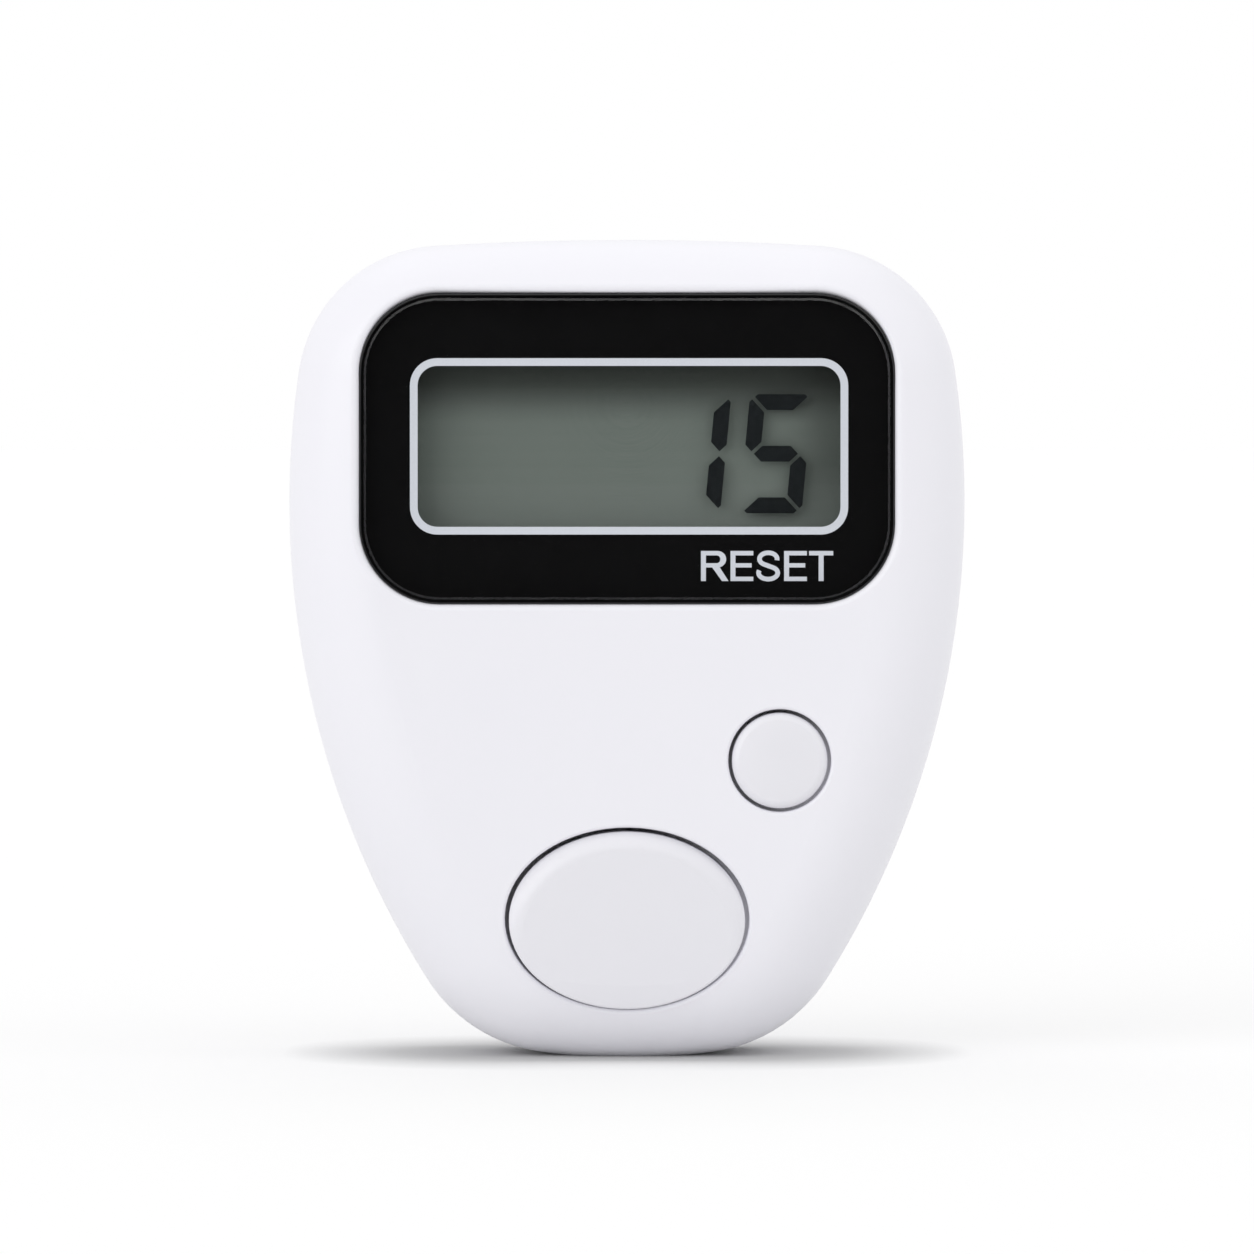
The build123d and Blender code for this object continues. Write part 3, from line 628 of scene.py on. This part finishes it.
def letter_outlines(letter):
    """A plain capital's closed outlines, one cap height tall, from its lower left corner."""
    stem, foot = STEM_SHARE, FOOT_BAR_SHARE
    top_low, top = TOP_BAR_SHARES
    middle_low, middle = MIDDLE_BAR_SHARES
    wide = WIDTH_SHARES[letter]
    if letter == "E":
        short = wide - MIDDLE_BAR_SHORTER
        return [[
            (0, 0), (wide, 0), (wide, foot), (stem, foot), (stem, middle_low), (short, middle_low),
            (short, middle), (stem, middle), (stem, top_low), (wide, top_low), (wide, top), (0, top),
        ]]
    if letter == "T":
        near, far = (wide - stem) / 2, (wide + stem) / 2
        return [[
            (near, 0), (far, 0), (far, top_low), (wide, top_low), (wide, top), (0, top), (0, top_low),
            (near, top_low),
        ]]
    if letter == "R":
        bowl = arc(
            (R_BOWL_X, (middle_low + top) / 2), (R_BOWL_REACH, (top - middle_low) / 2), R_BOWL_START, 90)
        eye = arc((R_EYE_X, (middle + top_low) / 2), (R_EYE_REACH, (top_low - middle) / 2), -90, 90)
        leg = [(R_LEG_TOP, middle_low), (R_LEG_FOOT, 0), (wide, 0)]
        return [
            [(0, 0), (stem, 0), (stem, middle_low)] + leg + bowl + [(0, top)],
            [(stem, middle)] + eye + [(stem, top_low)],
        ]
    return [ribbon(arc(*S_UPPER_ARC) + arc(*S_LOWER_ARC), S_STROKE)]


def reset_label():
    """The function word above the small button, in plain capitals."""
    flat = bpy.data.curves.new("reset_label", "CURVE")
    flat.dimensions = "2D"
    flat.fill_mode = "BOTH"
    flat.extrude = INK_THICKNESS / 2
    pairs = [""] + [LABEL_LETTERS[i:i + 2] for i in range(len(LABEL_LETTERS) - 1)]
    word = [(letter, SPACE_SHARES.get(pair, 0)) for letter, pair in zip(LABEL_LETTERS, pairs)]
    length = sum(WIDTH_SHARES[letter] + space for letter, space in word)
    across = LABEL_CAP * LABEL_WIDEN
    left = LABEL_RIGHT - length * across
    foot = window_bottom - LABEL_DROP - LABEL_CAP / 2
    for letter, space in word:
        left += space * across
        for outline in letter_outlines(letter):
            spline = flat.splines.new("POLY")
            spline.points.add(len(outline) - 1)
            spline.use_cyclic_u = True
            for point, (x, z) in zip(spline.points, outline):
                point.co = (left + x * across, foot + z * LABEL_CAP, 0, 1)
        left += WIDTH_SHARES[letter] * across
    shape = bpy.data.objects.new("reset_label_shape", flat)
    letters = bpy.data.meshes.new_from_object(shape)
    form = bmesh.new()
    form.from_mesh(letters)
    for v in form.verts:
        v.co = (v.co.x, panel_back - INK_THICKNESS / 2 - v.co.z, v.co.y)
    bmesh.ops.remove_doubles(form, verts=form.verts, dist=MERGE_DISTANCE)
    bpy.data.objects.remove(shape)
    bpy.data.curves.remove(flat)
    bpy.data.meshes.remove(letters)
    new_piece("reset_label", form, "silver", "case")


def rounded_profile(points, radius, steps=5):
    """An open line of (radius, depth) points with its inner corners rounded."""
    line = [Vector(points[0])]
    for before, corner, after in zip(points, points[1:], points[2:]):
        corner = Vector(corner)
        back, on = (Vector(before) - corner), (Vector(after) - corner)
        reach = min(radius, back.length / 2, on.length / 2)
        start, end = corner + back.normalized() * reach, corner + on.normalized() * reach
        for step in range(steps + 1):
            share = step / steps
            line.append((1 - share) ** 2 * start + 2 * share * (1 - share) * corner + share**2 * end)
    return line + [Vector(points[-1])]


def turned(name, centre, profile, finish, body, segments=64):
    """A piece turned about a front-to-back axis through an (x, z) centre, from pole to pole."""
    form = bmesh.new()
    rings = []
    for segment in range(segments):
        angle = math.tau * segment / segments
        side, rise = math.cos(angle), math.sin(angle)
        rings.append([form.verts.new((centre[0] + r * side, y, centre[1] + r * rise)) for r, y in profile])
    for i in range(segments):
        for j in range(len(profile) - 1):
            form.faces.new((rings[i - 1][j], rings[i - 1][j + 1], rings[i][j + 1], rings[i][j]))
    bmesh.ops.remove_doubles(form, verts=form.verts, dist=MERGE_DISTANCE)
    for face in form.faces:
        face.smooth = True
    return new_piece(name, form, finish, body)


def silicone_dome(name, node, pill):
    """A dome with a flat rim, a bowed web and a hub over its pill, at rest; the real one flattens as the
    button goes in.
    """
    low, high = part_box(node)
    pill_low, pill_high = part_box(pill)
    board, hub_front = high.y, low.y
    radius = (high.x - low.x) / 2
    hub = (pill_high.x - pill_low.x) / 2 + DOME_HUB_MARGIN
    web_foot = radius - DOME_RIM_WIDTH
    profile = [
        (0, hub_front), (hub, hub_front), (hub, pill_low.y - DOME_WEB), (web_foot, board - DOME_RIM),
        (radius, board - DOME_RIM), (radius, board), (web_foot - DOME_WEB, board), (hub, pill_low.y),
        (0, pill_low.y),
    ]
    centre = box_middle(low, high)
    dome = turned(name, centre, rounded_profile(profile, DOME_ROUND), "silicone", "case")
    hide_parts(node)
    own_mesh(dome)


def foam_pad():
    """The foam behind the display: flat against the glass and the board, its sides bulging a little."""
    low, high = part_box("lcd_foam_pad")
    centre = box_middle(low, high)
    form = bmesh.new()
    layers = []
    for step in range(FOAM_STEPS + 1):
        share = step / FOAM_STEPS
        inset = FOAM_BULGE * (1 - math.sin(math.pi * share))
        ring = rounded_rectangle(
            centre, high.x - low.x - 2 * inset, high.z - low.z - 2 * inset, FOAM_CORNER)
        layers.append([form.verts.new((x, low.y + (high.y - low.y) * share, z)) for x, z in ring])
    for lower, upper in zip(layers, layers[1:]):
        for i in range(len(lower)):
            form.faces.new((lower[i - 1], lower[i], upper[i], upper[i - 1])).smooth = True
    form.faces.new(layers[0])
    form.faces.new(layers[-1])
    pad = new_piece("display_foam", form, "foam", "case")
    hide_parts("lcd_foam_pad")


display_digits()
window_line()
panel_film()
reset_label()
silicone_dome("count_silicone_dome", "count_dome", "count_pill")
silicone_dome("reset_silicone_dome", "reset_dome", "reset_pill")
foam_pad()


def seen_by_eye(tree):
    """1 for rays from the camera, straight or by gloss or glass, and 0 for rays that gather light."""
    path = tree.nodes.new("ShaderNodeLightPath")
    total = path.outputs["Is Camera Ray"]
    for kind in ("Is Glossy Ray", "Is Transmission Ray"):
        add = tree.nodes.new("ShaderNodeMath")
        add.operation = "ADD"
        add.use_clamp = True
        tree.links.new(total, add.inputs[0])
        tree.links.new(path.outputs[kind], add.inputs[1])
        total = add.outputs[0]
    return total


def staged_sheet(name, size, material):
    """A flat square that isn't part of the object."""
    form = bmesh.new()
    bmesh.ops.create_grid(form, x_segments=1, y_segments=1, size=size / 2)
    mesh = bpy.data.meshes.new(name)
    form.to_mesh(mesh)
    form.free()
    mesh.materials.append(material)
    sheet = bpy.data.objects.new(name, mesh)
    bpy.context.scene.collection.objects.link(sheet)
    return sheet


def white_floor():
    """A floor that looks white, keeps the shadow with a painted shade added next to the case, and throws back
    less light than it shows.
    """
    paper = Finish("white_floor")
    seen = seen_by_eye(paper.tree)
    # Painted shadow: the floor's white as seen is darkened next to the case by occlusion
    painted_shade_occlusion = paper.node("ShaderNodeAmbientOcclusion")
    painted_shade_occlusion.inputs["Distance"].default_value = PAINTED_CONTACT_REACH
    shade = paper.graded(painted_shade_occlusion.outputs["AO"], PAINTED_CONTACT_SHADE, 0.0, 1 - PAINTED_CONTACT_SHADE)
    painted_shade_floor = paper.mixed(shade, (FLOOR_WHITE,) * 3, (0, 0, 0))
    paper.colour(paper.mixed(seen, (FLOOR_BOUNCE,) * 3, painted_shade_floor))
    paper.set(Roughness=1.0, Specular_IOR_Level=0.0)
    staged_sheet("floor", FLOOR_SIZE, paper.material)


def dark_card():
    """A dark card behind the camera, which only gloss can see, so that the panel stays black."""
    dark = Finish("dark_card")
    dark.set(Base_Color=CARD_TONE, Roughness=1.0, Specular_IOR_Level=0.0)
    card = staged_sheet("dark_card", CARD_SIZE, dark.material)
    card.location = (0, -CAMERA_DISTANCE - CARD_SETBACK, CAMERA_HEIGHT)
    card.rotation_euler = (math.radians(90), 0, 0)
    card.visible_camera = False
    card.visible_diffuse = False
    card.visible_transmission = False
    card.visible_shadow = False


def surroundings():
    """White to the eye, with a weaker even light on the object."""
    world = bpy.data.worlds.new("studio")
    bpy.context.scene.world = world
    world.use_nodes = True
    tree = world.node_tree
    light = tree.nodes["Background"]
    light.inputs["Color"].default_value = (1, 1, 1, 1)
    strength = tree.nodes.new("ShaderNodeMapRange")
    strength.inputs["To Min"].default_value = SKY_LIGHT
    strength.inputs["To Max"].default_value = 1.0
    tree.links.new(seen_by_eye(tree), strength.inputs["Value"])
    tree.links.new(strength.outputs["Result"], light.inputs["Strength"])


def soft_lamp(name, towards, strength):
    """A large soft lamp far off, by the direction towards it and its strength."""
    lamp = bpy.data.lights.new(name, "SUN")
    lamp.angle = LAMP_SPREAD
    lamp.energy = strength
    made = bpy.data.objects.new(name, lamp)
    made.rotation_euler = Vector(towards).to_track_quat("Z", "Y").to_euler()
    bpy.context.scene.collection.objects.link(made)


def stage():
    bpy.context.scene.view_settings.view_transform = "Standard"
    white_floor()
    dark_card()
    surroundings()
    for name, settings in LAMPS.items():
        soft_lamp(name, *settings)


def camera():
    """The camera, at the front and a little above the middle."""
    data = bpy.data.cameras.new("camera")
    data.lens = data.sensor_width * CAMERA_DISTANCE / FRAME_HEIGHT
    data.clip_start = CLIP_START
    data.clip_end = CLIP_END
    made = bpy.data.objects.new("camera", data)
    made.location = (0, -CAMERA_DISTANCE, CAMERA_HEIGHT)
    aim = Vector((0, 0, AIM_HEIGHT)) - made.location
    made.rotation_euler = aim.to_track_quat("-Z", "Y").to_euler()
    bpy.context.scene.collection.objects.link(made)
    bpy.context.scene.camera = made


stage()
camera()
